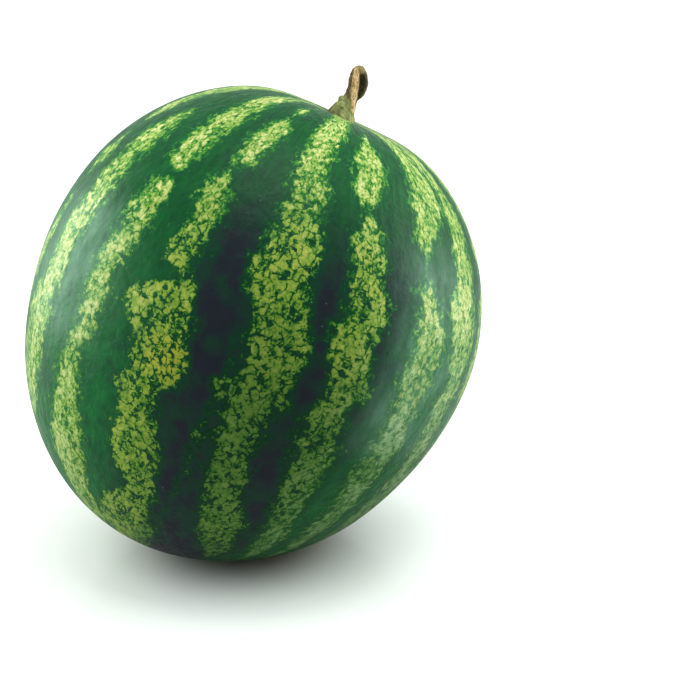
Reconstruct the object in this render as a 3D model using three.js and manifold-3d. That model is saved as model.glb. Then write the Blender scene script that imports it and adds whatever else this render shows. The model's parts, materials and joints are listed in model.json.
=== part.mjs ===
// A whole watermelon with its dry stem stub, resting on a small flat spot.
// Millimetres, +Z up. The origin is under the middle of the melon, at the height of the flat spot it rests on.
// +X is to the right of someone who faces the melon, and +Y is away from them.

import * as THREE from 'three';
import { mergeVertices } from 'three/addons/utils/BufferGeometryUtils.js';
import Module from 'manifold-3d';

// Where the melon's centre stands above the ground, with its box centred over the origin
const centre = new THREE.Vector3(-3.1, -0.6, 134.5);

// How the melon leans: its axis runs from the blossom end, underneath, up to the stem
const axisLean = 27.2; // degrees from upright
const axisHeading = 23.7; // degrees from +X towards +Y
const frontHeight = 20.5; // degrees above the horizon that its front meridian faces

// The rind's distance from the centre, by the angle from the stem and by how far right of the axis a point lies
const meanRadius = 132.5;
const endSwell = 6.4; // both ends stand out this much, and the waist is in by as much
const shoulderSwell = 2.3; // makes the stem shoulder broader and the lower waist slimmer
const sideLean = 3.0; // the right side is fuller near the stem, the left side near the blossom end
const sideWaist = 2.0; // the right side is fuller at the waist, the left side at the ends
const bellySwell = 5.0; // the belly is fuller at the front and the back, most of all below the waist
const stemDip = 9.0; // depth of the hollow that the stem grows from
const stemDipAngle = 16; // its half width, degrees
const groundSwell = 6.0; // the underside is fuller on the right, where the melon's weight lies
const groundSwellTilt = 20; // degrees from straight down, towards +X
const groundSwellAngle = 22; // its half width, degrees

// The mesh of the rind
const meridians = 72;
const parallels = 36;

// The stem: stations from its foot up the stalk, each x, y, z from the melon's stem pole, then the radius
const stalkStations = [
  [-1.8, -0.6, -4.5, 9.4],
  [-0.3, 0.1, -0.2, 8.4],
  [1.0, 0.9, 4.0, 6.4],
  [3.1, 1.5, 8.0, 4.7],
  [5.2, 2.2, 11.8, 3.3],
  [6.7, 3.1, 16.0, 2.8],
  [7.4, 4.1, 21.2, 2.8],
  [8.0, 4.8, 24.8, 2.1],
];
// The tip folds over to the right and hangs beside the stalk, thinner towards its cut end
const hookStations = [
  [7.4, 4.3, 21.6, 2.2],
  [8.3, 4.9, 25.4, 2.7],
  [10.2, 5.2, 26.0, 2.4],
  [11.7, 4.9, 22.6, 2.3],
  [11.9, 4.4, 18.4, 2.2],
  [10.8, 3.9, 14.6, 2.1],
  [9.3, 3.4, 11.8, 1.4],
];
const stalkRidges = 5;
const ridgeHeight = 0.09; // as a part of the stalk's radius
const stalkSides = 30;
const stalkSteps = 22;
const hookSides = 20;
const hookSteps = 16;
const knobCentre = new THREE.Vector3(0.8, 1.8, 10.3); // the old tendril scar, a knob on the stalk's left
const knobRadius = 2.1;
const knobSides = 16;
const knobRows = 10;
const jointGap = 0.3; // between the stem's foot and the rind

const rindLook = { color: 0x2c5a2c, roughness: 0.34, metalness: 0 };
const stemLook = { color: 0x8a7a4c, roughness: 0.85, metalness: 0 };

const degree = Math.PI / 180;
const wasm = await Module();
wasm.setup();

// The melon's own directions: axis towards the stem, front towards the viewer, side to the right
const axis = new THREE.Vector3(
  Math.sin(axisLean * degree) * Math.cos(axisHeading * degree),
  Math.sin(axisLean * degree) * Math.sin(axisHeading * degree),
  Math.cos(axisLean * degree),
);
const front = new THREE.Vector3(0, -Math.cos(frontHeight * degree), Math.sin(frontHeight * degree));
front.addScaledVector(axis, -front.dot(axis)).normalize();
const side = new THREE.Vector3().crossVectors(axis, front);
const fullest = new THREE.Vector3(
  Math.sin(groundSwellTilt * degree),
  0,
  -Math.cos(groundSwellTilt * degree),
);

// A smooth rounded swelling: one in the middle direction, fading over the half width in degrees
function swelling(direction, middle, halfWidth) {
  return Math.exp(-((direction.angleTo(middle) / (halfWidth * degree)) ** 2));
}

// The rind's distance from the centre in a direction, which is a unit vector
function rindRadius(direction) {
  const fromStem = direction.angleTo(axis);
  const rightwards = direction.dot(side);
  const forwards = direction.dot(front);
  const ends = endSwell * Math.cos(2 * fromStem) - shoulderSwell * Math.cos(3 * fromStem);
  const sides = sideLean * Math.cos(fromStem) - sideWaist * Math.cos(2 * fromStem);
  const belly = bellySwell * forwards ** 2 * (1 - Math.cos(fromStem)) / 2;
  const dip = stemDip * swelling(direction, axis, stemDipAngle);
  const ground = groundSwell * swelling(direction, fullest, groundSwellAngle);
  return meanRadius + ends + rightwards * sides + belly - dip + ground;
}

// A closed solid of a geometry, for cutting and joining
function toSolid(geometry) {
  const bare = geometry.clone();
  bare.deleteAttribute('normal');
  bare.deleteAttribute('uv');
  const merged = mergeVertices(bare);
  return new wasm.Manifold(new wasm.Mesh({
    numProp: 3,
    vertProperties: merged.attributes.position.array,
    triVerts: new Uint32Array(merged.index.array),
  }));
}

function toGeometry(solid) {
  const mesh = solid.getMesh();
  const geometry = new THREE.BufferGeometry();
  geometry.setAttribute('position', new THREE.BufferAttribute(mesh.vertProperties, 3));
  geometry.setIndex(new THREE.BufferAttribute(mesh.triVerts, 1));
  geometry.computeVertexNormals();
  return geometry;
}

// The whole rind about the melon's centre, grown outwards by the clearance
function rindGeometry(clearance) {
  const geometry = new THREE.SphereGeometry(1, meridians, parallels);
  geometry.rotateX(90 * degree);
  geometry.applyMatrix4(new THREE.Matrix4().makeBasis(side, front.clone().negate(), axis));
  const position = geometry.attributes.position;
  const direction = new THREE.Vector3();
  for (let i = 0; i < position.count; i += 1) {
    direction.fromBufferAttribute(position, i).normalize();
    direction.multiplyScalar(rindRadius(direction) + clearance);
    position.setXYZ(i, direction.x, direction.y, direction.z);
  }
  return geometry;
}

// The fruit: the rind with its underside cut level where it rests
function fruitSolid() {
  const blockWidth = 4 * meanRadius;
  const ground = new THREE.BoxGeometry(blockWidth, blockWidth, blockWidth);
  ground.translate(0, 0, -centre.z - blockWidth / 2);
  return toSolid(rindGeometry(0)).subtract(toSolid(ground));
}

// A round bar that follows the stations, with lengthwise ridges around it: an upright cylinder one unit long,
// with its middle at zero, is bent along the route and widened to each station's radius
function stalkGeometry(stations, sides, steps) {
  const route = new THREE.CatmullRomCurve3(stations.map(([x, y, z]) => new THREE.Vector3(x, y, z)));
  const radii = new THREE.SplineCurve(stations.map(([, , , radius], i) => new THREE.Vector2(i, radius)));
  const frames = route.computeFrenetFrames(steps, false);
  const geometry = new THREE.CylinderGeometry(1, 1, 1, sides, steps);
  const position = geometry.attributes.position;
  const point = new THREE.Vector3();
  for (let i = 0; i < position.count; i += 1) {
    const along = position.getY(i) + 0.5;
    const step = Math.round(along * steps);
    const turn = Math.atan2(position.getZ(i), position.getX(i));
    const ridged = 1 + ridgeHeight * Math.cos(stalkRidges * turn);
    const radius = radii.getPoint(route.getUtoTmapping(along)).y * ridged;
    point.copy(route.getPointAt(along));
    point.addScaledVector(frames.binormals[step], position.getX(i) * radius);
    point.addScaledVector(frames.normals[step], position.getZ(i) * radius);
    position.setXYZ(i, point.x, point.y, point.z);
  }
  return geometry;
}

// The stem: stalk, folded tip and knob in one piece, with its foot shaped to the rind
function stemSolid() {
  const pole = axis.clone().multiplyScalar(rindRadius(axis));
  const geometries = [
    stalkGeometry(stalkStations, stalkSides, stalkSteps),
    stalkGeometry(hookStations, hookSides, hookSteps),
    new THREE.SphereGeometry(knobRadius, knobSides, knobRows).translate(...knobCentre),
  ];
  const solids = geometries.map((geometry) => toSolid(geometry.translate(...pole)));
  const whole = solids.reduce((joined, solid) => joined.add(solid));
  return whole.subtract(toSolid(rindGeometry(jointGap)));
}

function pieceMesh(name, solid, look) {
  const mesh = new THREE.Mesh(toGeometry(solid), new THREE.MeshStandardMaterial(look));
  mesh.name = name;
  return mesh;
}

const watermelon = new THREE.Group();
watermelon.position.copy(centre);
watermelon.add(pieceMesh('fruit', fruitSolid(), rindLook));
watermelon.add(pieceMesh('stem', stemSolid(), stemLook));

export default watermelon;
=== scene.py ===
import json
import math

import bpy
import numpy as np
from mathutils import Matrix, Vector


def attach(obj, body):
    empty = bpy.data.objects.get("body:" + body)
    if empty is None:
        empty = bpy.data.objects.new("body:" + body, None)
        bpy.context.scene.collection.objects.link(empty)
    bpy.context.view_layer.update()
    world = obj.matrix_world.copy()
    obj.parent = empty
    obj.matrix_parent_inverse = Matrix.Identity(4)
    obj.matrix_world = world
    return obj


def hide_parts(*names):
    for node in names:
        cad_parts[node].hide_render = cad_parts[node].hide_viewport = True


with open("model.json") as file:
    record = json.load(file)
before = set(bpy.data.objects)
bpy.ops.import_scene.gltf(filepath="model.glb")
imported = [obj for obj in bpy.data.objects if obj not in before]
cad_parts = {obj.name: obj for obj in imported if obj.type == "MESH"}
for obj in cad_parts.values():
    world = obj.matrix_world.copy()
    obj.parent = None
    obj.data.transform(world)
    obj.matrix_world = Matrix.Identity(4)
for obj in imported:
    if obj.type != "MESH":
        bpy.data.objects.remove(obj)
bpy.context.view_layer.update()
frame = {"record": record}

MM = 0.001  # metres in a millimetre: meshes are in millimetres here, and the camera and lights in metres
SEED = 7

# The melon's place and lean, as in the CAD: its axis runs from the blossom end up to the stem
CENTRE = np.array([-3.1, -0.6, 134.5])
AXIS_LEAN = math.radians(27.2)  # from upright
AXIS_HEADING = math.radians(23.7)  # from +X towards +Y
FRONT_HEIGHT = math.radians(20.5)  # how far above the horizon its front faces

# The rind's distance from the centre, as in the CAD: millimetres, and degrees for the angles
MEAN_RADIUS = 132.5
END_SWELL = 6.4  # both ends stand out this much, and the waist is in by as much
SHOULDER_SWELL = 2.3  # makes the stem shoulder broader and the lower waist slimmer
SIDE_LEAN = 3.0  # the right side is fuller near the stem, the left side near the blossom end
SIDE_WAIST = 2.0  # the right side is fuller at the waist, the left side at the ends
BELLY_SWELL = 5.0  # the belly is fuller at the front and the back, most of all below the waist
STEM_DIP = 9.0  # depth of the hollow that the stem grows from
STEM_DIP_ANGLE = 16  # its half width
GROUND_SWELL = 6.0  # the underside is fuller on the right, where the melon's weight lies
GROUND_SWELL_TILT = math.radians(20)  # from straight down, towards +X
GROUND_SWELL_ANGLE = 22  # its half width

# What the CAD leaves out: how softly the rind turns into its flat spot, and faint lumps in waves, from the
# broadest to the finest, which are lower the finer they are
REST_EDGE = 0.8
WAVES = (4, 5, 7, 9, 12, 16)
WAVE_HEIGHT = 0.8

# The rind's mesh: the six faces of a cube, each cut into this many squares a side, blown up into the melon
FACE_SQUARES = 128
# How the six faces lie on the texture map, and the bare margin around each, as a part of its width
MAP_COLUMNS = 3
MAP_ROWS = 2
MAP_MARGIN = 0.004
# Corners that agree in this many digits are one corner
MERGE_DIGITS = 6

# Light stripes, each as stations from the stem to the blossom end: degrees from the stem, degrees to the
# right of the front, and the stripe's half width in degrees, which is under zero where the stripe is broken
STRIPES = [
    [(14, -70, 9), (28, -70, 8), (36, -70, 4), (45, -69, 5), (54, -68, -3), (63, -67, 4), (73, -68, -2),
     (86, -69, 3), (96, -72, 3), (110, -76, 3), (130, -80, 4), (150, -84, 3)],
    [(40, -52, -3), (44, -53, 1.5), (50, -53, 4), (60, -53, 4), (70, -53, 5), (80, -53, 5), (90, -54, 4),
     (98, -56, 6), (106, -59, 8), (115, -60, 8.5), (124, -61, 7), (132, -60, 3), (140, -58, -1),
     (150, -50, -3)],
    [(10, -38, 7), (20, -38.5, 5.5), (30, -37.5, 5.5), (38, -36, 5), (45, -35, 4.5), (52, -35, 4),
     (57, -35, 2), (59.5, -34, -2.5), (62, -33, 2), (68, -33.5, 3.5), (76, -34.5, 3.5), (84, -35, 3.5),
     (92, -34.5, 4), (99, -34, 2.5), (104, -36, 3), (110, -37, 3.5), (118, -36, 4.5), (126, -36, 7),
     (134, -36, 8), (142, -36, 8), (150, -34, 9)],
    [(20, -19, -1), (24, -18.5, 2.5), (27, -19, -1.5), (30, -18, -1.5), (33, -17.5, 3), (38, -18, 4),
     (43, -18, 3.5), (48, -17.5, 2), (52, -19, -2), (55, -20, 1.8), (59, -19, 3.6), (63, -18, 3.8),
     (68, -17.5, 2.8), (73, -18, 4), (77, -17, 2.6), (79.5, -13, 1), (82, -15, 5), (86, -17, 8),
     (90, -17, 8), (95, -13, 7), (100, -11, 6), (106, -14, 5), (112, -14, 5), (118, -12, 6.5),
     (125, -11, 7), (129, -8.5, 5.5), (134, -5.5, 4.5), (138, -8.5, 7.5), (142, -12, 9.5), (150, -10, 14)],
    [(10, 4, 12), (15, 3, 7), (20, 3, 7), (26, 3, 6.5), (30, 1.5, 5.5), (36, 1.5, 5), (42, 1.5, 4.5),
     (46, 3, 5.5), (50, 4, 4.5), (56, 5, 5), (62, 6, 6.5), (67, 6, 6), (72, 8, 5.5), (78, 10, 6),
     (84, 11.5, 6), (90, 12, 5), (95, 12, 6.5), (97, 10.5, 7.5), (100, 11, 6), (106, 12, 4.5),
     (113, 13, 5), (120, 15, 5), (126, 18, 5.5), (132, 21, 7), (138, 24, 7.5), (144, 28, 7),
     (150, 33, 3), (156, 36, -2)],
    [(20, 21, -2), (24, 20, 1.5), (28, 21, 4.5), (33, 22, 6.5), (38, 22, 6), (42, 21, 4), (45, 20.5, 1.5),
     (47, 22, -0.5), (49.5, 24, 3), (54, 25, 4), (58, 26, 4.5), (62, 26, 3.5), (66, 27.5, 5),
     (71, 28.5, 5), (76, 28, 5), (81, 29, 5), (86, 32, 4.5), (92, 30, 3.5), (100, 31, 5), (110, 33, 5),
     (120, 36, 5), (130, 40, 5), (140, 45, 4), (150, 50, 2)],
    [(12, 46, 9), (20, 47, 7), (26, 47, 5), (31, 50, 8), (36, 50, 8), (41, 48, 7.5), (46, 46, 4.5),
     (50, 45, 3), (54, 45, -1), (57, 45, -1), (60, 46, 4), (65, 48, 4.5), (69, 50, 6), (74, 51, 6),
     (79, 50, 5), (85, 50, 4.5), (95, 50, 5), (105, 51, 5), (115, 53, 5.5), (125, 55, 5), (135, 58, 4),
     (145, 62, 2)],
    [(12, 66, 8), (20, 64, 7), (26, 62, 6), (33, 65, 3), (38, 66, 6), (44, 66, 6), (50, 66, 5.5),
     (56, 65, 5.5), (62, 65, 7), (68, 66, 7), (74, 67, 5.5), (78, 67, 3), (84, 66, 4.5), (95, 67, 5),
     (105, 69, 5), (115, 70, 5.5), (125, 72, 5), (135, 75, 4), (145, 80, 2)],
    [(65, -2, -1), (68, -1, 1), (72, 1, 1.5), (76, 3, 1.5), (79, 4, -1)],
]
FAR_OUTSIDE = -1000.0  # a depth well outside every stripe

# The stripes round the back are drawn at random: this many, evenly spread between these directions, with a
# station every few degrees, where each swerves, swells and at times breaks off
BACK_STRIPES = 10
BACK_FROM = 66
BACK_TO = 290
BACK_STATIONS = range(12, 152, 6)
SWERVE = 1.2
SWERVE_KEPT = 0.8  # how much of its swerve a stripe keeps at its next station
BACK_HALF_WIDTH = 5.2
BACK_HALF_WIDTH_SPREAD = 1.6
BREAK_CHANCE = 0.06
BREAK_HALF_WIDTH = -2.0

# Where the rind's look changes, in degrees from the stem or to the right of the front. Each pair is where
# a share is none and where it is full. A belt runs down the front, and another down the back: it is full
# this near to its middle, and has faded this far from it
# Painted shade: the navy belt gives the dark bands a darker, bluer colour on the dim front, and likewise on
# the back
PAINTED_NAVY_SHADE_BELT = {"middle": 12, "full": 20, "faded": 36}
PAINTED_NAVY_SHADE_STARTS = (40, 70)  # from the stem
# Painted shade: the olive belt darkens the stripes on the dim front, and likewise on the back, and changes
# their pattern a little
PAINTED_OLIVE_SHADE_BELT = {"middle": 4, "full": 20, "faded": 44}
PAINTED_OLIVE_SHADE_STARTS = (40, 66)  # from the stem
PAINTED_OLIVE_SHADE_LOWER_LEFT = 10  # it starts this much lower on the left
LEFT_STARTS = (0, 0.2)  # the left side, not in degrees but by the sine of its turn
PAINTED_LOW_SHADE_STARTS = (62, 108)  # the lower part's painted shade, from the stem
PAINTED_LOW_SHADE_LEFT_SHARE = 0.12  # what the left side has of that painted shade
RIGHT_STARTS = (-14, 6)  # the right side, to the right of the front
RIGHT_FADES = (170, 110)
PAINTED_BOTTOM_SHADE_STARTS = (118, 140)  # from the stem: the bottom has some of that painted shade on all sides
PAINTED_BOTTOM_SHADE_SHARE = 0.3
HAZE_STARTS = (42, 62)  # the waist's bloom and painted sheen, from the stem, and how much lower it is on the left
HAZE_START_LOWER_LEFT = 20
HAZE_FADES = (110, 90)
HAZE_FADE_LOWER_LEFT = 6
FLANK_STARTS = (22, 46)  # the flanks' bloom and painted sheen, to the right and to the left of the front
FLANK_FADES = (78, 50)
BACK_HAZE = 0.35  # how much of it the back has

# A yellow patch on a stripe: degrees from the stem and to the right of the front, and its half width
SUN_SPOT = (97, -9)
SUN_SPOT_ANGLE = 7
# The pale spot underneath, where the melon lay on the ground as it grew, and the scar of its blossom
GROUND_SPOT_RADIUS = 46.0
BLOSSOM_RADIUS = 5.0


# Camera

# Its place is in metres, and its lens and sensor in millimetres
CAMERA_PLACE = (0.0546, -0.8970, 0.4524)
CAMERA_LENS = 85
SENSOR_WIDTH = 36
FARTHEST_SEEN = 50


def make_camera():
    """The camera of the photograph's view, which looks down on the melon's front."""
    data = bpy.data.cameras.new("camera")
    data.lens = CAMERA_LENS
    data.sensor_width = SENSOR_WIDTH
    data.clip_end = FARTHEST_SEEN
    camera = bpy.data.objects.new("camera", data)
    camera.location = CAMERA_PLACE
    camera.rotation_euler = (math.radians(90) - FRONT_HEIGHT, 0, 0)
    bpy.context.scene.collection.objects.link(camera)
    bpy.context.scene.camera = camera


# Node helpers

# A noise node's values lie mostly within this reach of their middle
NOISE_MIDDLE = 0.5
NOISE_REACH = 0.25
# The sockets of a mix node, as it mixes colours
MIX_SHARE = 0
MIX_FIRST = 6
MIX_SECOND = 7
MIX_RESULT = 2
# The socket of a vector node that is for a scale
VECTOR_SCALE = 3
WHITE = (1, 1, 1, 1)


class Graph:
    """A short way to write a node tree: most methods add a node and give back its output."""

    def __init__(self, tree):
        self.tree = tree
        tree.nodes.clear()

    def add(self, kind, **settings):
        """Adds a node of any kind, and gives back the node itself."""
        node = self.tree.nodes.new(kind)
        for name, value in settings.items():
            setattr(node, name, value)
        return node

    def plug(self, socket, value):
        """Links an output to the socket, or sets the socket to a value. None leaves it as it is."""
        if isinstance(value, bpy.types.NodeSocket):
            self.tree.links.new(value, socket)
        elif value is not None:
            socket.default_value = value

    def attribute(self, name, output="Fac"):
        """What store() kept on the mesh under that name."""
        return self.add("ShaderNodeAttribute", attribute_name=name).outputs[output]

    def math(self, operation, first, second=None, third=None):
        """A sum on numbers."""
        node = self.add("ShaderNodeMath", operation=operation)
        for socket, value in zip(node.inputs, (first, second, third)):
            self.plug(socket, value)
        return node.outputs[0]

    def vector(self, operation, first, second=None, scale=None):
        """A sum on vectors."""
        node = self.add("ShaderNodeVectorMath", operation=operation)
        self.plug(node.inputs[0], first)
        self.plug(node.inputs[1], second)
        self.plug(node.inputs[VECTOR_SCALE], scale)
        return node.outputs["Value" if operation in ("DOT_PRODUCT", "DISTANCE") else "Vector"]

    def squeezed(self, place, along, around=1.0):
        """The place with its lengths multiplied: the smaller the number, the longer what is drawn there."""
        return self.vector("MULTIPLY", place, (around, around, along))

    def noise(self, place, size, detail=2.0, roughness=0.5):
        """Noise from about -1 to 1, with lumps of that size."""
        node = self.add("ShaderNodeTexNoise")
        self.plug(node.inputs["Vector"], place)
        node.inputs["Scale"].default_value = 1 / size
        node.inputs["Detail"].default_value = detail
        node.inputs["Roughness"].default_value = roughness
        return self.math("MULTIPLY_ADD", node.outputs["Fac"], 1 / NOISE_REACH, -NOISE_MIDDLE / NOISE_REACH)

    def shift(self, place, size, reach):
        """The place, moved about by noise with lumps of that size."""
        node = self.add("ShaderNodeTexNoise")
        self.plug(node.inputs["Vector"], place)
        node.inputs["Scale"].default_value = 1 / size
        node.inputs["Detail"].default_value = 1.0
        centred = self.vector("SUBTRACT", node.outputs["Color"], (NOISE_MIDDLE, NOISE_MIDDLE, NOISE_MIDDLE))
        return self.vector("ADD", place, self.vector("SCALE", centred, scale=reach))

    def voronoi(self, place, size, feature="F1", output="Distance"):
        """Cells of that size: how far a place is from its cell's middle, or another feature or output."""
        node = self.add("ShaderNodeTexVoronoi", feature=feature)
        self.plug(node.inputs["Vector"], place)
        node.inputs["Scale"].default_value = 1 / size
        return node.outputs[output]

    def ramp(self, value, start, end, low=0.0, high=1.0, kind="SMOOTHSTEP"):
        """From low to high as the value goes from start to end."""
        node = self.add("ShaderNodeMapRange", interpolation_type=kind, clamp=True)
        for name, number in (("From Min", start), ("From Max", end), ("To Min", low), ("To Max", high)):
            self.plug(node.inputs[name], number)
        self.plug(node.inputs["Value"], value)
        return node.outputs["Result"]

    def between(self, low, high, share):
        """From low to high as the share goes from 0 to 1."""
        return self.ramp(share, 0.0, 1.0, low, high)

    def mix(self, share, first, second, blend="MIX"):
        """A colour between the first and the second."""
        node = self.add("ShaderNodeMix", data_type="RGBA", blend_type=blend)
        self.plug(node.inputs[MIX_SHARE], share)
        self.plug(node.inputs[MIX_FIRST], colour(first))
        self.plug(node.inputs[MIX_SECOND], colour(second))
        return node.outputs[MIX_RESULT]

    def tint(self, share, shade, filtering):
        """The colour, as a share of it looks through a filter of another colour."""
        return self.mix(share, shade, self.mix(1.0, shade, filtering, "MULTIPLY"))

    def stops(self, value, colours):
        """A colour by the value, from a list of values and their colours."""
        start, end = colours[0][0], colours[-1][0]
        node = self.add("ShaderNodeValToRGB")
        ramp = node.color_ramp
        while len(ramp.elements) < len(colours):
            ramp.elements.new(1.0)
        for element, (number, shade) in zip(ramp.elements, colours):
            element.position = (number - start) / (end - start)
            element.color = colour(shade)
        self.plug(node.inputs["Fac"], self.ramp(value, start, end, kind="LINEAR"))
        return node.outputs["Color"]

    def bump(self, shader, height, depth):
        """Makes the shader's surface stand out by the depth, in millimetres, where the height is one."""
        node = self.add("ShaderNodeBump")
        self.plug(node.inputs["Height"], height)
        node.inputs["Distance"].default_value = depth * MM
        node.inputs["Strength"].default_value = 1.0
        self.plug(shader.inputs["Normal"], node.outputs["Normal"])


def colour(value):
    """A linear colour with its alpha, or a socket as it is."""
    return (*value, 1.0) if isinstance(value, tuple) and len(value) == 3 else value


def linear(red, green, blue):
    """The linear colour of an sRGB colour written from 0 to 255, by the sRGB standard's own curve."""
    shares = (channel / 255 for channel in (red, green, blue))
    return tuple(s / 12.92 if s <= 0.04045 else ((s + 0.055) / 1.055) ** 2.4 for s in shares)


def new_material(name):
    """A new material, the graph of its nodes and its shader."""
    material = bpy.data.materials.new(name)
    material.use_nodes = True
    graph = Graph(material.node_tree)
    shader = graph.add("ShaderNodeBsdfPrincipled")
    output = graph.add("ShaderNodeOutputMaterial")
    graph.plug(output.inputs["Surface"], shader.outputs["BSDF"])
    return material, graph, shader


# The melon's shape

def unit(vectors):
    """The vectors' directions, each as a vector that is one long."""
    return vectors / np.linalg.norm(vectors, axis=-1, keepdims=True)


def melon_directions():
    """The melon's own directions in the frame: its side, front and axis."""
    axis = np.array([
        math.sin(AXIS_LEAN) * math.cos(AXIS_HEADING),
        math.sin(AXIS_LEAN) * math.sin(AXIS_HEADING),
        math.cos(AXIS_LEAN),
    ])
    front = np.array([0, -math.cos(FRONT_HEIGHT), math.sin(FRONT_HEIGHT)])
    front = unit(front - axis * (front @ axis))
    return np.cross(axis, front), front, axis


SIDE, FRONT, AXIS = melon_directions()
DOWN = np.array([0, 0, -1])
FULLEST = np.array([math.sin(GROUND_SWELL_TILT), 0, -math.cos(GROUND_SWELL_TILT)])


def melon_direction(from_stem, rightwards):
    """The direction that is so many degrees from the stem and to the right of the melon's front."""
    from_stem, rightwards = math.radians(from_stem), math.radians(rightwards)
    around = math.cos(rightwards) * FRONT + math.sin(rightwards) * SIDE
    return math.cos(from_stem) * AXIS + math.sin(from_stem) * around


def angle_to(directions, middle):
    """How far each direction is from the middle one, in radians."""
    return np.arccos(np.clip(directions @ middle, -1, 1))


def swelling(directions, middle, half_width):
    """One in the middle direction, fading smoothly over the half width in degrees."""
    return np.exp(-(angle_to(directions, middle) / math.radians(half_width)) ** 2)


def rind_radius(directions):
    """How far the rind is from the centre, as in the CAD."""
    from_stem = angle_to(directions, AXIS)
    ends = END_SWELL * np.cos(2 * from_stem) - SHOULDER_SWELL * np.cos(3 * from_stem)
    sides = SIDE_LEAN * np.cos(from_stem) - SIDE_WAIST * np.cos(2 * from_stem)
    belly = BELLY_SWELL * (directions @ FRONT) ** 2 * (1 - np.cos(from_stem)) / 2
    dip = STEM_DIP * swelling(directions, AXIS, STEM_DIP_ANGLE)
    ground = GROUND_SWELL * swelling(directions, FULLEST, GROUND_SWELL_ANGLE)
    return MEAN_RADIUS + ends + (directions @ SIDE) * sides + belly - dip + ground


def waviness(directions):
    """Faint lumps that keep the rind from being a perfect form, in millimetres."""
    random = np.random.default_rng(SEED)
    total = np.zeros(len(directions))
    for waves in WAVES:
        heading = unit(random.normal(size=3))
        phase = random.uniform(0, 2 * math.pi)
        total += WAVE_HEIGHT / waves * np.sin(waves * (directions @ heading) + phase)
    return total


def cube_sphere(squares):
    """Directions over a whole sphere, the squares between them, and each square corner's place on the map.

    The six faces of a cube are blown up into the sphere, and lie side by side on the map.
    """
    corners = squares + 1
    turn = np.linspace(-math.pi / 4, math.pi / 4, corners)
    across, up = np.meshgrid(np.tan(turn), np.tan(turn), indexing="ij")
    share = MAP_MARGIN + np.linspace(0, 1, corners) * (1 - 2 * MAP_MARGIN)
    share_across, share_up = np.meshgrid(share, share, indexing="ij")
    corner = np.arange(corners ** 2).reshape(corners, corners)
    around = [corner[:-1, :-1], corner[1:, :-1], corner[1:, 1:], corner[:-1, 1:]]
    square = np.stack(around, axis=-1).reshape(-1, 4)
    points, quads, places = [], [], []
    for face in range(6):
        out = np.zeros(3)
        out[face // 2] = 1 if face % 2 else -1
        first = np.roll(np.abs(out), 1)
        second = np.cross(out, first)
        points.append(unit(out + across[..., None] * first + up[..., None] * second).reshape(-1, 3))
        quads.append(square + face * corners ** 2)
        column, row = face % MAP_COLUMNS, face // MAP_COLUMNS
        place = [(column + share_across) / MAP_COLUMNS, (row + share_up) / MAP_ROWS]
        places.append(np.stack(place, axis=-1).reshape(-1, 2))
    points, quads, places = (np.concatenate(parts) for parts in (points, quads, places))
    rounded = np.round(points, MERGE_DIGITS)
    _, keep, merged = np.unique(rounded, axis=0, return_index=True, return_inverse=True)
    return points[keep], merged.reshape(-1)[quads], places[quads.reshape(-1)]


def mesh_object(name, points, faces):
    """An object of points in millimetres, in the frame, with its own origin at the frame's."""
    mesh = bpy.data.meshes.new(name)
    mesh.from_pydata((points * MM).tolist(), [], list(faces))
    mesh.polygons.foreach_set("use_smooth", np.ones(len(faces), bool))
    made = bpy.data.objects.new(name, mesh)
    bpy.context.scene.collection.objects.link(made)
    return made


def store(mesh, name, values):
    """Keeps one number or one vector for each point of the mesh, for its material to read."""
    kind, field = ("FLOAT_VECTOR", "vector") if values.ndim == 2 else ("FLOAT", "value")
    attribute = mesh.attributes.new(name, kind, "POINT")
    attribute.data.foreach_set(field, values.astype(np.float32).ravel())


# The stripes

def back_stripes():
    """Stripes for the side that the photograph doesn't show, like the others in width and breaks."""
    random = np.random.default_rng(SEED)
    stripes = []
    for middle in np.linspace(BACK_FROM, BACK_TO, BACK_STRIPES + 2)[1:-1]:
        stations = []
        swerve = 0.0
        for from_stem in BACK_STATIONS:
            swerve = SWERVE_KEPT * swerve + random.normal() * SWERVE
            half_width = BACK_HALF_WIDTH + random.normal() * BACK_HALF_WIDTH_SPREAD
            if random.random() < BREAK_CHANCE:
                half_width = BREAK_HALF_WIDTH
            stations.append((from_stem, middle + swerve, half_width))
        stripes.append(stations)
    return stripes


def stripe_depth(from_stem, rightwards):
    """How far inside a light stripe each place is, in millimetres along the girth; under zero outside."""
    depth = np.full(len(from_stem), FAR_OUTSIDE)
    for stations in STRIPES + back_stripes():
        along, middle, half_width = np.array(stations, float).T
        gap = rightwards - np.interp(from_stem, along, middle)
        gap = np.abs((gap + 180) % 360 - 180)
        depth = np.maximum(depth, np.interp(from_stem, along, half_width) - gap)
    return np.radians(depth) * MEAN_RADIUS


def smooth_step(values, start, end):
    """From 0 to 1 as the values go from start to end."""
    share = np.clip((values - start) / (end - start), 0, 1)
    return share * share * (3 - 2 * share)


def belt_share(rightwards, middle, full, faded):
    """From 1 near the middle direction, and the one opposite, to 0 away from them."""
    off = np.abs((rightwards - middle + 90) % 180 - 90)
    return smooth_step(off, faded, full)


def painted_low_shade_share(from_stem, rightwards):
    """How much each place has of the lower part's painted shade, which is deepest on the right."""
    right = smooth_step(rightwards, *RIGHT_STARTS) * smooth_step(rightwards, *RIGHT_FADES)
    sideways = PAINTED_LOW_SHADE_LEFT_SHARE + (1 - PAINTED_LOW_SHADE_LEFT_SHARE) * right
    bottom = PAINTED_BOTTOM_SHADE_SHARE * smooth_step(from_stem, *PAINTED_BOTTOM_SHADE_STARTS)
    return smooth_step(from_stem, *PAINTED_LOW_SHADE_STARTS) * np.maximum(sideways, bottom)


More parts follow.
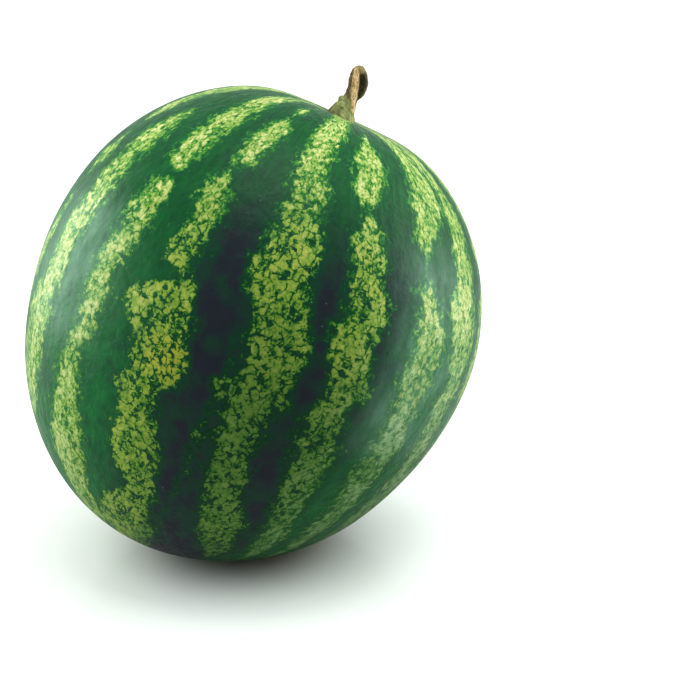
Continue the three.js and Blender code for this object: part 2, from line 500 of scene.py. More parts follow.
def bloom_and_painted_sheen_share(from_stem, rightwards, left):
    """How thick the waxy bloom and the painted sheen with it are: most on both flanks at the waist."""
    waist = smooth_step(from_stem - HAZE_START_LOWER_LEFT * left, *HAZE_STARTS)
    waist *= smooth_step(from_stem - HAZE_FADE_LOWER_LEFT * left, *HAZE_FADES)
    sideways = np.abs(rightwards)
    fading = BACK_HAZE + (1 - BACK_HAZE) * smooth_step(sideways, *FLANK_FADES)
    return waist * smooth_step(sideways, *FLANK_STARTS) * fading


def rind_attributes(directions):
    """What the rind's material reads at each point, by name."""
    turn = np.arctan2(directions @ SIDE, directions @ FRONT)
    from_stem = np.degrees(angle_to(directions, AXIS))
    rightwards = np.degrees(turn)
    left = smooth_step(-np.sin(turn), *LEFT_STARTS)
    painted_olive_shade = belt_share(rightwards, **PAINTED_OLIVE_SHADE_BELT)
    painted_olive_shade *= smooth_step(from_stem - PAINTED_OLIVE_SHADE_LOWER_LEFT * left, *PAINTED_OLIVE_SHADE_STARTS)
    # The rind as a tube round its axis, so that marks drawn on it narrow towards its ends, as stripes do
    grown = np.stack([np.cos(turn), np.sin(turn), np.radians(from_stem)], axis=-1)
    return {
        "stripe": stripe_depth(from_stem, rightwards),
        "grown": MEAN_RADIUS * grown,
        # Painted shade: the navy and olive belts and the low share; painted sheen, besides the bloom: the
        # haze share
        "painted_navy_shade": belt_share(rightwards, **PAINTED_NAVY_SHADE_BELT) * smooth_step(from_stem, *PAINTED_NAVY_SHADE_STARTS),
        "painted_olive_shade": painted_olive_shade,
        "low": painted_low_shade_share(from_stem, rightwards),
        "bloom_and_painted_sheen": bloom_and_painted_sheen_share(from_stem, rightwards, left),
        "sun": swelling(directions, melon_direction(*SUN_SPOT), SUN_SPOT_ANGLE),
        "ground": angle_to(directions, DOWN) * MEAN_RADIUS,
        "blossom": angle_to(directions, -AXIS) * MEAN_RADIUS,
    }


def make_fruit():
    """The melon: a smooth, closed rind with its underside pressed flat where it rests."""
    local, faces, places = cube_sphere(FACE_SQUARES)
    directions = local @ np.array([SIDE, -FRONT, AXIS])
    points = directions * (rind_radius(directions) + waviness(directions))[:, None] + CENTRE
    points[:, 2] = (points[:, 2] + np.sqrt(points[:, 2] ** 2 + REST_EDGE ** 2)) / 2
    fruit = mesh_object("fruit_rind", points, faces.tolist())
    uv_map = fruit.data.uv_layers.new(name="OFBake")
    uv_map.data.foreach_set("uv", places.astype(np.float32).ravel())
    for name, values in rind_attributes(directions).items():
        store(fruit.data, name, values)
    fruit.data.materials.append(rind_material())
    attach(fruit, "root")
    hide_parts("fruit")


# The rind's material

# Its colours by how far inside a light stripe they are, in millimetres: under zero is a dark band. The
# olive ones are for the front and the back, below the shoulder, where the stripes are darker as painted
# shade
OPEN_COLOURS = [
    (-4.6, linear(12, 76, 40)),
    (-3.0, linear(20, 92, 40)),
    (-1.5, linear(40, 116, 42)),
    (-0.2, linear(78, 140, 50)),
    (0.9, linear(124, 162, 68)),
    (2.2, linear(166, 186, 100)),
    (3.6, linear(194, 202, 132)),
    (5.0, linear(216, 214, 158)),
]
PAINTED_OLIVE_SHADE_COLOURS = [
    (-4.6, linear(18, 58, 40)),
    (-3.0, linear(18, 68, 38)),
    (-1.6, linear(26, 86, 38)),
    (-0.6, linear(42, 102, 42)),
    (0.2, linear(86, 132, 50)),
    (1.2, linear(124, 158, 60)),
    (2.8, linear(151, 173, 72)),
    (5.0, linear(184, 190, 90)),
]
STRIPE_FROM = -4.6  # here the band's own colour gives way to the colours above
STRIPE_WHOLE = -2.4

LIME_TINT = linear(200, 238, 196)
BROWN_SPOT = linear(168, 140, 60)
SUN_YELLOW = linear(192, 184, 48)
# Painted shade of the lower part: a bluish tint that darkens its stripes
PAINTED_LOW_SHADE_TINT = linear(162, 194, 206)
GREENS = (linear(6, 70, 32), linear(14, 90, 40))
# The bands' greens in the lower part, a brighter copy set for the painted shade there
PAINTED_LOW_SHADE_GREENS = (linear(6, 84, 36), linear(14, 106, 46))
CLOUD_GREEN = linear(12, 64, 44)
# Painted shade: the navy of the dark bands on the dim front and back, and its edge towards the stripes
PAINTED_SHADE_NAVIES = (linear(34, 41, 48), linear(26, 58, 44))
PAINTED_SHADE_NAVY_EDGE = linear(20, 60, 42)
# The waxy bloom's colour, which on the flanks also serves as painted sheen
BLOOM_AND_PAINTED_SHEEN = linear(126, 152, 140)
CREAMS = (linear(186, 184, 104), linear(218, 208, 142))
BLOSSOM_HALO = linear(150, 160, 84)
BLOSSOM_SCARS = (linear(92, 70, 40), linear(146, 120, 76))
PIT = linear(14, 32, 26)
DUST = linear(150, 168, 158)
SCUFF = linear(150, 164, 150)

# How far each kind of lump or gap moves a stripe's outline or cuts into it, in millimetres. A pair is for
# the open colours first, and then for the olive ones
LUMP_REACH = 4.2
CRUMB_REACH = 3.3
OUTLINE_SHIFTS = (-0.9, 0.0)
OUTSIDE_SLOPES = (0.55, 0.85)  # how steeply the depth falls outside a stripe
INNER_CELL_REACH = 3.3
OUTER_CELL_REACH = 3.9
GRAIN_REACH = 1.1
SEAM_DEPTHS = (-2.2, -3.4)
HOLE_DEPTHS = (-2.4, -3.6)
CREASE_DEPTH = -3.0
# Other pairs, each from one limit to the other
PALEST_DEPTHS = (1.0, 3.0)  # how deep a stripe's colours go, which changes from place to place
SEAM_EDGES = (0.15, 0.03)  # how far a seam reaches from a cell's edge, by the size of the cells
HOLE_NUMBERS = (0.85, 0.89)  # a cell is a hole if its random number, from 0 to 1, is over this
CREASE_EDGES = (0.05, 0.015)  # a crease lies where noise is this near to 0

GROUND_SPOT_SHARE = 0.85
GROUND_SPOT_FADE = 7  # to each side of its radius
HALO_RADII = 4  # the pale halo's radius, by the blossom scar's
HALO_SHARE = 0.5
SCAR_EDGE = 0.8

PIT_SPACING = 12.0
DUST_SPACING = 8.0
FLECK_RADII = (0.055, 0.03)  # a pit's or a speck's outer and inner radius, by the spacing
RIND_BUMP = 0.2
RIND_ROUGHNESS = (0.30, 0.46)
RIND_IOR = 1.45
RIND_SPECULAR = 0.07


def ragged_outline(g, place, painted_olive_shade):
    """How far inside a light stripe, once lumps and crumbs have made its outline ragged."""
    moved = g.shift(place, size=9.0, reach=5.0)
    lumps = g.noise(moved, size=13.0, detail=1.0)
    crumbs = g.noise(moved, size=4.6, detail=2.0, roughness=0.55)
    ragged = g.math("MULTIPLY_ADD", lumps, LUMP_REACH, g.attribute("stripe"))
    ragged = g.math("MULTIPLY_ADD", crumbs, CRUMB_REACH, ragged)
    return g.math("ADD", ragged, g.between(*OUTLINE_SHIFTS, painted_olive_shade))


def cells(g, place, painted_olive_shade, ragged):
    """How far inside a light stripe, once its inside is level and small cells and grain break it up."""
    most = g.ramp(g.noise(place, size=16.0, detail=1.0), -0.7, 0.7, *PALEST_DEPTHS)
    outside = g.math("MULTIPLY", g.math("MINIMUM", ragged, 0.0), g.between(*OUTSIDE_SLOPES, painted_olive_shade))
    inside = g.math("MINIMUM", g.math("MAXIMUM", ragged, 0.0), most)
    field = g.math("ADD", outside, inside)
    reach = g.ramp(ragged, 1.5, -1.5, INNER_CELL_REACH, OUTER_CELL_REACH)
    fine = g.noise(g.shift(place, size=2.4, reach=2.4), size=3.4, detail=3.0, roughness=0.62)
    field = g.math("MULTIPLY_ADD", fine, reach, field)
    return g.math("MULTIPLY_ADD", g.noise(place, size=1.2, roughness=0.6), GRAIN_REACH, field)


def dark_gaps(g, place, painted_olive_shade, field):
    """The field cut by seams between the light cells, here and there, small holes, and a few creases."""
    bent = g.shift(place, size=2.6, reach=2.8)
    seam = g.ramp(g.voronoi(bent, size=4.6, feature="DISTANCE_TO_EDGE"), *SEAM_EDGES)
    seam = g.math("MULTIPLY", seam, g.ramp(g.noise(place, size=4.4), -0.6, 0.25))
    field = g.math("MULTIPLY_ADD", seam, g.between(*SEAM_DEPTHS, painted_olive_shade), field)
    cell_number = g.vector("DOT_PRODUCT", g.voronoi(bent, size=3.0, output="Color"), (1.0, 0.0, 0.0))
    hole = g.math("MULTIPLY", g.ramp(cell_number, *HOLE_NUMBERS), g.between(*HOLE_DEPTHS, painted_olive_shade))
    across = g.noise(g.squeezed(place, along=1.7, around=0.5), size=15.0, detail=1.0)
    crease = g.ramp(g.math("ABSOLUTE", across), *CREASE_EDGES)
    crease = g.math("MULTIPLY", crease, g.ramp(g.noise(place, size=13.0), 0.7, 0.95))
    return g.math("MULTIPLY_ADD", crease, CREASE_DEPTH, g.math("ADD", field, hole))


def light_stripe(g, place, painted_olive_shade, low, field):
    """The light stripes and their speckled edges, with lime, brown and sun-yellow in places, and low down
    more lime and a bluish tint of painted shade.
    """
    # Painted shade: darker olive stripe colours in the olive belt
    stripe = g.mix(painted_olive_shade, g.stops(field, OPEN_COLOURS), g.stops(field, PAINTED_OLIVE_SHADE_COLOURS))
    lime = g.ramp(g.noise(place, size=8.0), 0.0, 0.9, high=0.5)
    # Painted shade: lower down, more lime
    lime = g.math("MAXIMUM", lime, g.ramp(low, 0.0, 0.1, high=0.35))
    stripe = g.tint(lime, stripe, LIME_TINT)
    brown = g.math("MULTIPLY", g.ramp(g.noise(place, size=4.2), 0.85, 1.3), g.ramp(field, 0.3, 1.2))
    stripe = g.mix(brown, stripe, BROWN_SPOT)
    sun = g.math("MULTIPLY", g.attribute("sun"), g.ramp(field, 0.3, 2.2, high=0.6))
    stripe = g.mix(sun, stripe, SUN_YELLOW)
    # Painted shade: lower down, a bluish tint
    return g.tint(low, stripe, PAINTED_LOW_SHADE_TINT)


def dark_band(g, place, low, painted_navy_shade_share, ragged, streak):
    """The bands between the stripes: streaked green, in a brighter copy where the lower part's shade is
    painted, and the navy of painted shade with soft green patches where deepest.
    """
    streaked = g.ramp(streak, -1.0, 1.1)
    # Painted shade: lower down, the bands take the brighter greens set for the dim light there
    green = g.mix(g.ramp(low, 0.0, 0.1), g.mix(streaked, *GREENS), g.mix(streaked, *PAINTED_LOW_SHADE_GREENS))
    cloud = g.ramp(g.noise(place, size=13.0, detail=4.0, roughness=0.6), -0.3, 1.0, high=0.9)
    green = g.mix(cloud, green, CLOUD_GREEN)
    patch = g.ramp(g.noise(place, size=15.0), -0.3, 0.8)
    # The navy is painted shade
    painted_navy_shade = g.mix(g.ramp(ragged, -9.0, -3.0), g.mix(patch, *PAINTED_SHADE_NAVIES), PAINTED_SHADE_NAVY_EDGE)
    return g.mix(painted_navy_shade_share, green, painted_navy_shade)


def add_bloom_and_painted_sheen(g, place, painted_navy_shade_share, skin):
    """A thin waxy bloom, thicker in some places, with little on the navy bands, which on the flanks is also
    a painted sheen.
    """
    uneven = g.noise(g.squeezed(place, along=0.5), size=9.0, detail=4.0, roughness=0.62)
    # Painted sheen, besides the bloom: thickest on the flanks, which face the soft boxes at the sides
    most = g.between(0.03, 0.54, g.attribute("bloom_and_painted_sheen"))
    painted_sheen_and_bloom = g.ramp(uneven, -0.9, 1.2, g.math("MULTIPLY", most, 0.35), most)
    painted_sheen_and_bloom = g.math("MULTIPLY", painted_sheen_and_bloom, g.between(1.0, 0.2, painted_navy_shade_share))
    return g.mix(painted_sheen_and_bloom, skin, BLOOM_AND_PAINTED_SHEEN, "ADD")


def add_underside(g, place, streak, skin):
    """The pale spot underneath, blotched at its edge, and the round brown scar of the blossom."""
    edge = g.noise(place, size=14.0, detail=4.0, roughness=0.6)
    edge = g.math("MULTIPLY_ADD", edge, 9.0, g.attribute("ground"))
    outer, inner = GROUND_SPOT_RADIUS + GROUND_SPOT_FADE, GROUND_SPOT_RADIUS - GROUND_SPOT_FADE
    cream = g.mix(g.ramp(g.noise(place, size=7.0, detail=3.0), -0.8, 0.8), *CREAMS)
    skin = g.mix(g.ramp(edge, outer, inner, high=GROUND_SPOT_SHARE), skin, cream)
    from_scar = g.math("MULTIPLY_ADD", g.noise(place, size=2.0), 0.8, g.attribute("blossom"))
    halo = g.ramp(from_scar, HALO_RADII * BLOSSOM_RADIUS, BLOSSOM_RADIUS, high=HALO_SHARE)
    skin = g.mix(halo, skin, BLOSSOM_HALO)
    scar = g.ramp(from_scar, BLOSSOM_RADIUS, BLOSSOM_RADIUS - SCAR_EDGE)
    return g.mix(scar, skin, g.mix(g.ramp(streak, -0.8, 0.8), *BLOSSOM_SCARS))


def add_wear(g, place, pit, skin):
    """Small dark pits, pale specks of dust and faint scuffs."""
    skin = g.mix(g.math("MULTIPLY", pit, 0.75), skin, PIT)
    speck = g.ramp(g.voronoi(g.shift(place, size=1.5, reach=1.5), DUST_SPACING), *FLECK_RADII)
    speck = g.math("MULTIPLY", speck, g.ramp(g.noise(place, size=19.0), 0.0, 0.6, high=0.6))
    skin = g.mix(speck, skin, DUST)
    scuff = g.noise(g.squeezed(place, along=1.6), size=26.0, roughness=0.4)
    scuff = g.ramp(g.math("ABSOLUTE", scuff), 0.016, 0.0)
    scuff = g.math("MULTIPLY", scuff, g.ramp(g.noise(place, size=10.0), 0.95, 1.25, high=0.5))
    return g.mix(scuff, skin, SCUFF)


def rind_material():
    """Waxy rind: navy and dark green bands, and ragged yellow-green stripes full of small dark gaps; the
    navy, the olive stripes and the lower part's tint are painted shade, and the flanks' bloom is partly
    painted sheen.
    """
    material, g, shader = new_material("rind")
    place = g.attribute("grown", "Vector")
    # The olive and navy belts and the low share carry painted shade
    painted_olive_shade = g.attribute("painted_olive_shade")
    painted_navy_shade_share = g.attribute("painted_navy_shade")
    low = g.attribute("low")
    ragged = ragged_outline(g, place, painted_olive_shade)
    field = dark_gaps(g, place, painted_olive_shade, cells(g, place, painted_olive_shade, ragged))
    streak = g.noise(g.squeezed(place, along=0.35), size=4.2, detail=4.0, roughness=0.62)
    pit = g.ramp(g.voronoi(place, PIT_SPACING), *FLECK_RADII)

    stripe = light_stripe(g, place, painted_olive_shade, low, field)
    band = dark_band(g, place, low, painted_navy_shade_share, ragged, streak)
    skin = g.mix(g.ramp(field, STRIPE_FROM, STRIPE_WHOLE), band, stripe)
    skin = add_bloom_and_painted_sheen(g, place, painted_navy_shade_share, skin)
    skin = add_underside(g, place, streak, skin)
    skin = add_wear(g, place, pit, skin)
    g.plug(shader.inputs["Base Color"], skin)

    # The skin's own small lumps break up the gloss
    lumps = g.noise(place, size=3.2, detail=3.0, roughness=0.6)
    lumps = g.math("MULTIPLY_ADD", lumps, 0.5, g.noise(place, size=11.0))
    g.bump(shader, g.math("MULTIPLY_ADD", pit, -1.0, lumps), RIND_BUMP)
    uneven = g.noise(place, size=6.0, detail=3.0, roughness=0.6)
    g.plug(shader.inputs["Roughness"], g.ramp(uneven, -1.0, 1.0, *RIND_ROUGHNESS))
    shader.inputs["IOR"].default_value = RIND_IOR
    shader.inputs["Specular IOR Level"].default_value = RIND_SPECULAR
    return material


# The stem

# Up the stalk from its foot, along the tip that folds over to the right and hangs against it, and out
# along the stub of a tendril on its left: x, y and z from the melon's stem pole, and then the radius
STALK = [
    (-2.9, -0.6, -4.5, 9.5),
    (-1.3, 0.1, -0.2, 8.5),
    (0.4, 0.9, 4.0, 6.6),
    (2.8, 1.5, 8.0, 4.9),
    (4.8, 2.2, 11.8, 3.7),
    (6.3, 3.1, 16.0, 3.2),
    (7.0, 4.1, 21.2, 3.1),
    (7.6, 4.8, 25.0, 2.6),
]
HOOK = [
    (7.2, 4.5, 22.6, 2.4),
    (8.2, 4.9, 25.5, 2.7),
    (10.0, 5.0, 26.0, 2.5),
    (11.4, 4.8, 22.6, 2.5),
    (11.6, 4.3, 18.4, 2.5),
    (10.3, 3.8, 14.4, 2.3),
    (8.1, 3.3, 10.2, 1.2),
]
STUB = [
    (3.0, 1.4, 8.4, 2.2),
    (1.2, 1.2, 9.6, 2.5),
    (-0.3, 1.1, 10.8, 2.3),
    (-1.2, 1.1, 11.7, 1.5),
    (-1.6, 1.1, 12.1, 0.7),
]
STALK_STEPS = 90
HOOK_STEPS = 80
STUB_STEPS = 24
STALK_SIDES = 36
STEM_VOXEL = 0.25
SOFTENING = 0.5
SOFTENING_ROUNDS = 5

# Ribs along the stalk, each by its degrees to the right of the front and its height. The hook's are lower
RIBS = [(-38, 0.25), (-84, 0.4), (-138, 0.45), (160, 0.4), (104, 0.4)]
RIB_WIDTH = 15
HOOK_RIB_WIDTH = 20
HOOK_RIB_SHARE = 0.6
# The cream rib on the stalk's front: millimetres up the stalk, and degrees to the right of the front
CREAM_RIB = [(0, 66), (8, 66), (11, 62), (16, 40), (20, 24), (25, 15), (32, 12)]
CREAM_HEIGHT = 0.55
CREAM_STARTS = (6, 9)  # up the stalk
CREAM_WIDTH = 24
CREAM_WIDENS = (12, 20)  # up the stalk
CREAM_WIDENING = 20
CREAM_ENDS = (2.5, 5.5)  # along the hook

# Where the stem's look changes: each pair is where a share is none and where it is full, in millimetres up
# the stalk or along the hook. A turn is in degrees to the right of the front
HOOK_STARTS = (1.0, 4.0)
HOOK_SEAM = (-0.1, 0.3)  # by how many radii the hook is nearer than the stalk
FOOT_FADES = (19, 12)  # the greener foot
EDGE_FADES = (9.5, 5.0)  # its dark left edge
EDGE_TURN = -75
EDGE_WIDTH = 70
RIM_TURN = -100  # the hook's pale rim, and its top, where that colour is a painted highlight
RIM_WIDTH = 28
PAINTED_HIGHLIGHT_TOP = (8, 5)

# Fibres, by how wide one is in degrees and how long in millimetres, and lumps, both in waves to the unit
FIBRE_WIDTH = 18
FIBRE_LENGTH = 9
FIBRE_WAVES = (0.5, 0.8, 1.1, 1.5)
FIBRE_HEIGHT = 0.35
LUMP_WAVES = (0.22, 0.35, 0.5, 0.7, 0.9)
LUMP_HEIGHT = 0.3
FOOT_DEPTH = 0.6  # how far under the rind's surface the stem's foot reaches
BARK_RADIUS = 3.2  # of the tube that the bark is drawn on


def smooth_path(stations, steps):
    """Points on one smooth curve through the stations, each with its radius."""
    knots = np.array(stations)
    padded = np.vstack([2 * knots[0] - knots[1], knots, 2 * knots[-1] - knots[-2]])
    place = np.linspace(0, len(knots) - 1, steps)
    index = np.minimum(place.astype(int), len(knots) - 2)
    share = (place - index)[:, None]
    before, start, end, after = (padded[index + step] for step in range(4))
    cubic = 3 * (start - end) + after - before
    square = 2 * before - 5 * start + 4 * end - after
    return start + share / 2 * (end - before + share * (square + share * cubic))


def path_frame(path):
    """At each point of a path, its direction, the one to its right, and the one towards the front."""
    along = unit(np.gradient(path[:, :3], axis=0))
    right = unit(np.cross(along, FRONT))
    return along, right, np.cross(right, along)


def tube(path):
    """A closed tube around a path, as points and faces."""
    sides = STALK_SIDES
    _, right, towards = path_frame(path)
    turn = np.linspace(0, 2 * math.pi, sides, endpoint=False)[None, :, None]
    spoke = np.cos(turn) * towards[:, None] + np.sin(turn) * right[:, None]
    points = (path[:, None, :3] + path[:, None, 3:] * spoke).reshape(-1, 3)
    faces = [list(range(sides)), list(range(len(points) - 1, len(points) - sides - 1, -1))]
    for ring in range(len(path) - 1):
        for side in range(sides):
            near, far = ring * sides + side, ring * sides + (side + 1) % sides
            faces.append([near, near + sides, far + sides, far])
    return points, faces


def fused(tubes):
    """One skin around tubes that overlap, softened where they join: its points and faces."""
    points, faces = [], []
    for tube_points, tube_faces in tubes:
        first = sum(len(part) for part in points)
        points.append(tube_points)
        faces += [[corner + first for corner in face] for face in tube_faces]
    rough = mesh_object("rough", np.concatenate(points), faces)
    skin = rough.modifiers.new("skin", "REMESH")
    skin.mode = "VOXEL"
    skin.voxel_size = STEM_VOXEL * MM
    soften = rough.modifiers.new("soften", "SMOOTH")
    soften.factor = SOFTENING
    soften.iterations = SOFTENING_ROUNDS
    mesh = rough.evaluated_get(bpy.context.evaluated_depsgraph_get()).to_mesh()
    fused_points = np.array([vertex.co for vertex in mesh.vertices]) / MM
    fused_faces = [list(polygon.vertices) for polygon in mesh.polygons]
    bpy.data.objects.remove(rough)
    return fused_points, fused_faces


def nearest_on(path, points):
    """For each point: how many radii it is from the path, how far along, the way out and its turn."""
    gap = points[:, None] - path[None, :, :3]
    radii = np.linalg.norm(gap, axis=2) / path[None, :, 3]
    index = radii.argmin(axis=1)
    rows = np.arange(len(points))
    steps = np.linalg.norm(np.diff(path[:, :3], axis=0), axis=1)
    length = np.concatenate([[0], np.cumsum(steps)])
    _, right, towards = path_frame(path)
    out = gap[rows, index]
    turn = np.degrees(np.arctan2((out * right[index]).sum(axis=1), (out * towards[index]).sum(axis=1)))
    return radii[rows, index], length[index], unit(out), turn


def hump(turn, middle, width):
    """One along a rib, fading to its sides over the width in degrees."""
    return np.exp(-(((turn - middle + 180) % 360 - 180) / width) ** 2)


def ripples(points, waves, height, seed):
    """Seeded lumps of several sizes, as waves to the unit, with that height in all."""
    random = np.random.default_rng(seed)
    total = np.zeros(len(points))
    for wave in waves:
        heading = unit(random.normal(size=3))
        phase = random.uniform(0, 2 * math.pi)
        total += np.sin(2 * math.pi * wave * (points @ heading) + phase)
    return total * height / len(waves)


def rooted(points):
    """The stem's points in the frame, with what lies deeper drawn up to just under the rind's surface."""
    points = points + AXIS * rind_radius(AXIS[None, :])
    depth = np.linalg.norm(points, axis=1)
    directions = unit(points)
    least = rind_radius(directions) + waviness(directions) - FOOT_DEPTH
    return directions * np.maximum(depth, least)[:, None] + CENTRE


def make_stem():
    """The dry stem: a ribbed stalk with a flared foot, a tendril's stub, and its tip folded over."""
    stalk, hook = smooth_path(STALK, STALK_STEPS), smooth_path(HOOK, HOOK_STEPS)
    stub = smooth_path(STUB, STUB_STEPS)
    points, faces = fused([tube(stalk), tube(hook), tube(stub)])

    # Where each point lies on the stalk and on the hook, and which of the two it belongs to
    from_stalk, height, stalk_out, stalk_turn = nearest_on(stalk, points)
    from_hook, hook_height, hook_out, hook_turn = nearest_on(hook, points)
    on_hook = smooth_step(from_stalk - from_hook, *HOOK_SEAM) * smooth_step(hook_height, *HOOK_STARTS)
    out = unit(stalk_out + (hook_out - stalk_out) * on_hook[:, None])

    # The cream rib, the other ribs, and fibres and lumps all over
    cream_turn = np.interp(height, *np.array(CREAM_RIB, float).T)
    cream_width = CREAM_WIDTH + CREAM_WIDENING * smooth_step(height, *CREAM_WIDENS)
    cream = hump(stalk_turn, cream_turn, cream_width) * smooth_step(height, *CREAM_STARTS)
    cream *= 1 - on_hook * smooth_step(hook_height, *CREAM_ENDS)
    raised = CREAM_HEIGHT * cream
    for turn, rib_height in RIBS:
        raised += rib_height * hump(stalk_turn, turn, RIB_WIDTH) * (1 - on_hook)
        raised += HOOK_RIB_SHARE * rib_height * hump(hook_turn, turn, HOOK_RIB_WIDTH) * on_hook
    fibres = np.stack([stalk_turn / FIBRE_WIDTH, np.zeros(len(points)), height / FIBRE_LENGTH], axis=-1)
    raised += ripples(fibres, FIBRE_WAVES, FIBRE_HEIGHT, SEED)
    raised += ripples(points, LUMP_WAVES, LUMP_HEIGHT, SEED + 1)

    stem = mesh_object("stem_stalk", rooted(points + out * raised[:, None]), faces)
    turn = np.radians(stalk_turn)
    bark = [BARK_RADIUS * np.cos(turn), BARK_RADIUS * np.sin(turn), height + hook_height * on_hook]
    # The hook's pale rim, and a painted highlight on its top
    rim_and_highlight = np.maximum(hump(hook_turn, RIM_TURN, RIM_WIDTH), smooth_step(hook_height, *PAINTED_HIGHLIGHT_TOP))
    store(stem.data, "bark", np.stack(bark, axis=-1))
    store(stem.data, "cream", cream)
    store(stem.data, "foot", smooth_step(height, *FOOT_FADES))
    store(stem.data, "edge", smooth_step(height, *EDGE_FADES) * hump(stalk_turn, EDGE_TURN, EDGE_WIDTH))
    store(stem.data, "hook", on_hook)
    # The hook's rim and painted highlight
    store(stem.data, "outer", on_hook * rim_and_highlight)
    stem.data.materials.append(stem_material())
    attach(stem, "root")
    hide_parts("stem")


# The stem's colours: the two lists go by the fibres, from the hollows between them to their tops
DRY_COLOURS = [
    (-1.1, linear(30, 23, 11)),
    (-0.3, linear(62, 51, 29)),
    (0.4, linear(108, 93, 57)),
    (1.2, linear(184, 164, 118)),
]
FOOT_COLOURS = [
    (-1.1, linear(78, 80, 42)),
    (-0.2, linear(128, 136, 80)),
    (0.6, linear(158, 168, 106)),
    (1.2, linear(196, 206, 148)),
]
FOOT_EDGE = linear(70, 62, 42)
# The hook's dark olives: partly painted shade of the fold's hollow
HOOK_OLIVES_AND_PAINTED_SHADE = (linear(40, 38, 20), linear(96, 90, 56))
# Its pale rim, and the painted highlight on its top
HOOK_RIMS_AND_PAINTED_HIGHLIGHT = (linear(122, 112, 56), linear(186, 164, 118))
STEM_CREAMS = (linear(206, 160, 98), linear(246, 218, 164))
BROWN_FLECK = linear(92, 56, 22)
CREAM_FLECK = linear(126, 78, 36)
STEM_BUMP = 0.15
STEM_ROUGHNESS = (0.9, 0.65)
STEM_SPECULAR = 0.3


def stem_material():
    """Dry stalk: fibrous olive brown, with a flecked cream rib, a greener foot and a dark folded tip,
    partly painted shade, with a pale rim and a painted highlight on its top.
    """
    material, g, shader = new_material("stem")
    bark = g.attribute("bark", "Vector")
    foot = g.attribute("foot")
    fibre = g.noise(g.squeezed(bark, along=0.16), size=0.9, detail=4.0, roughness=0.65)
    blotch = g.noise(g.squeezed(bark, along=0.5), size=1.7, detail=3.0, roughness=0.6)
    skin = g.mix(foot, g.stops(fibre, DRY_COLOURS), g.stops(fibre, FOOT_COLOURS))
    edge = g.math("MULTIPLY", g.attribute("edge"), g.ramp(blotch, -0.6, 0.5, low=0.35, high=0.9))
    skin = g.mix(edge, skin, FOOT_EDGE)
    # The hook's dark olive is partly painted shade
    skin = g.mix(g.attribute("hook"), skin, g.mix(g.ramp(fibre, -0.6, 0.9), *HOOK_OLIVES_AND_PAINTED_SHADE))
    # The hook's pale rim, and a painted highlight on its top
    skin = g.mix(g.attribute("outer"), skin, g.mix(g.ramp(blotch, -0.4, 0.6), *HOOK_RIMS_AND_PAINTED_HIGHLIGHT))
    cream = g.math("MULTIPLY", g.ramp(g.attribute("cream"), 0.35, 0.8), g.ramp(blotch, -1.1, -0.7))
    skin = g.mix(cream, skin, g.mix(g.ramp(fibre, -0.7, 0.5), *STEM_CREAMS))

    # Brown flecks above the foot, and paler ones on the cream rib
    fleck = g.math("MULTIPLY", g.ramp(g.noise(bark, size=1.1), 0.55, 0.85), g.ramp(foot, 1.0, 0.3))
    skin = g.mix(g.math("MULTIPLY", fleck, 0.8), skin, BROWN_FLECK)
    cream_fleck = g.noise(g.squeezed(bark, along=0.6), size=0.8)
    cream_fleck = g.math("MULTIPLY", g.ramp(cream_fleck, 0.2, 0.6, high=0.75), cream)
    skin = g.mix(cream_fleck, skin, CREAM_FLECK)

    g.plug(shader.inputs["Base Color"], skin)
    g.bump(shader, g.math("MULTIPLY_ADD", blotch, 0.5, fibre), STEM_BUMP)
    g.plug(shader.inputs["Roughness"], g.ramp(fibre, -1.0, 1.0, *STEM_ROUGHNESS))
    shader.inputs["Specular IOR Level"].default_value = STEM_SPECULAR
    return material


# Stage and light

# The floor's painted shadow right under the melon, and its glow, which only the camera sees and which lifts
# it to plain white away from the melon and far off: each pair is metres from the resting spot
FLOOR_HALF_WIDTH = 6000.0  # in millimetres, like every mesh here
RESTING_SPOT = frame["record"]["mounts"][0]["pos_m"]
NEAR_GLOW = 0.4
NEAR_GLOW_REACH = (0.035, 0.12)
FAR_GLOW = 0.8
FAR_GLOW_REACH = (0.5, 3.0)
# Painted shadow under the melon: where it fades out, and its colour
PAINTED_SHADOW_REACH = (0.03, 0.09)
FLOOR_PAINTED_SHADOW = (0.22, 0.24, 0.23)
FLOOR_TO_LIGHT = (0.6, 0.6, 0.6)
# As the camera sees it, tinted green as painted light bounced off the melon
FLOOR_TO_CAMERA_WITH_PAINTED_BOUNCE = (0.69, 0.78, 0.72)
FLOOR_ROUGHNESS = 0.2

# Soft boxes, each by its name, place, width, height and radiance
SOFT_BOXES = [
    ("key_left", (-1.09, 0.14, 0.34), 1.5, 0.9, 3.25),
    ("top", (0.2, -0.1, 1.5), 1.0, 0.9, 4.5),
    ("right", (1.12, 0.22, 0.50), 1.0, 0.9, 3.25),
]
WATTS_FOR_RADIANCE = 4  # that a square metre of soft box takes for a radiance of one

# The room's glow: from the front to the back, and dimmer overhead. Each pair of turns is how far that way
# a direction points, and each pair of glows is what it has there
BACKWARDS = (-0.2, 0.98, 0.0)
BACKWARDS_TURNS = (-0.3, 0.5)
BACKWARDS_GLOWS = (0.34, 0.9)
UPWARDS = (0.0, 0.0, 1.0)
UPWARDS_TURNS = (0.2, 0.6)
UPWARDS_GLOWS = (1.0, 0.75)


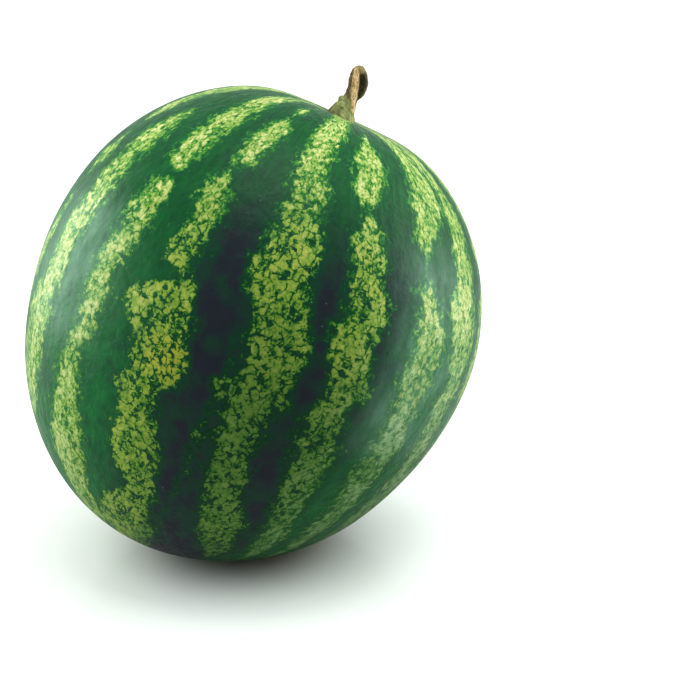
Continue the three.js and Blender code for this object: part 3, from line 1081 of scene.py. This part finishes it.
def make_floor():
    """A wide pale table with a faint gloss, a painted shadow round the melon's resting spot, and, for the
    camera only, a green tint of painted bounce light and a glow that whitens it away from the melon.
    """
    half = FLOOR_HALF_WIDTH
    points = np.array([[-half, -half, 0], [half, -half, 0], [half, half, 0], [-half, half, 0]])
    floor = mesh_object("floor", points, [[0, 1, 2, 3]])
    material, g, shader = new_material("floor")
    seen = g.add("ShaderNodeLightPath").outputs["Is Camera Ray"]
    reach = g.vector("DISTANCE", g.add("ShaderNodeTexCoord").outputs["Object"], RESTING_SPOT)
    near_glow = g.ramp(reach, *NEAR_GLOW_REACH, high=NEAR_GLOW)
    glow = g.math("ADD", near_glow, g.ramp(reach, *FAR_GLOW_REACH, high=FAR_GLOW))
    # Painted light: for the camera a green tint, and round the resting spot a painted shadow
    pale = g.mix(seen, FLOOR_TO_LIGHT, FLOOR_TO_CAMERA_WITH_PAINTED_BOUNCE)
    g.plug(shader.inputs["Base Color"], g.mix(g.ramp(reach, *PAINTED_SHADOW_REACH), FLOOR_PAINTED_SHADOW, pale))
    g.plug(shader.inputs["Emission Strength"], g.math("MULTIPLY", seen, glow))
    shader.inputs["Emission Color"].default_value = WHITE
    shader.inputs["Roughness"].default_value = FLOOR_ROUGHNESS
    floor.data.materials.append(material)


def soft_light(name, place, width, height, radiance):
    """A soft box that faces the melon, and that the camera doesn't see."""
    data = bpy.data.lights.new(name, "AREA")
    data.shape = "RECTANGLE"
    data.size = width
    data.size_y = height
    data.energy = WATTS_FOR_RADIANCE * radiance * width * height
    light = bpy.data.objects.new(name, data)
    light.location = place
    toward = Vector(CENTRE * MM) - Vector(place)
    light.rotation_euler = toward.to_track_quat("-Z", "Y").to_euler()
    light.visible_camera = False
    bpy.context.scene.collection.objects.link(light)


def make_world():
    """Plain white where the camera looks past the floor, and a pale room around, darker in front."""
    world = bpy.data.worlds.new("room")
    world.use_nodes = True
    g = Graph(world.node_tree)
    direction = g.add("ShaderNodeTexCoord").outputs["Generated"]
    glow = g.ramp(g.vector("DOT_PRODUCT", direction, BACKWARDS), *BACKWARDS_TURNS, *BACKWARDS_GLOWS)
    upwards = g.ramp(g.vector("DOT_PRODUCT", direction, UPWARDS), *UPWARDS_TURNS, *UPWARDS_GLOWS)
    room = g.add("ShaderNodeBackground")
    g.plug(room.inputs["Strength"], g.math("MULTIPLY", glow, upwards))
    white = g.add("ShaderNodeBackground")
    mixed = g.add("ShaderNodeMixShader")
    g.plug(mixed.inputs[0], g.add("ShaderNodeLightPath").outputs["Is Camera Ray"])
    for socket, background in zip(mixed.inputs[1:], (room, white)):
        background.inputs["Color"].default_value = WHITE
        g.plug(socket, background.outputs[0])
    g.plug(g.add("ShaderNodeOutputWorld").inputs["Surface"], mixed.outputs[0])
    bpy.context.scene.world = world
    bpy.context.scene.view_settings.view_transform = "Standard"


make_camera()
make_world()
for soft_box in SOFT_BOXES:
    soft_light(*soft_box)
make_floor()
make_fruit()
make_stem()
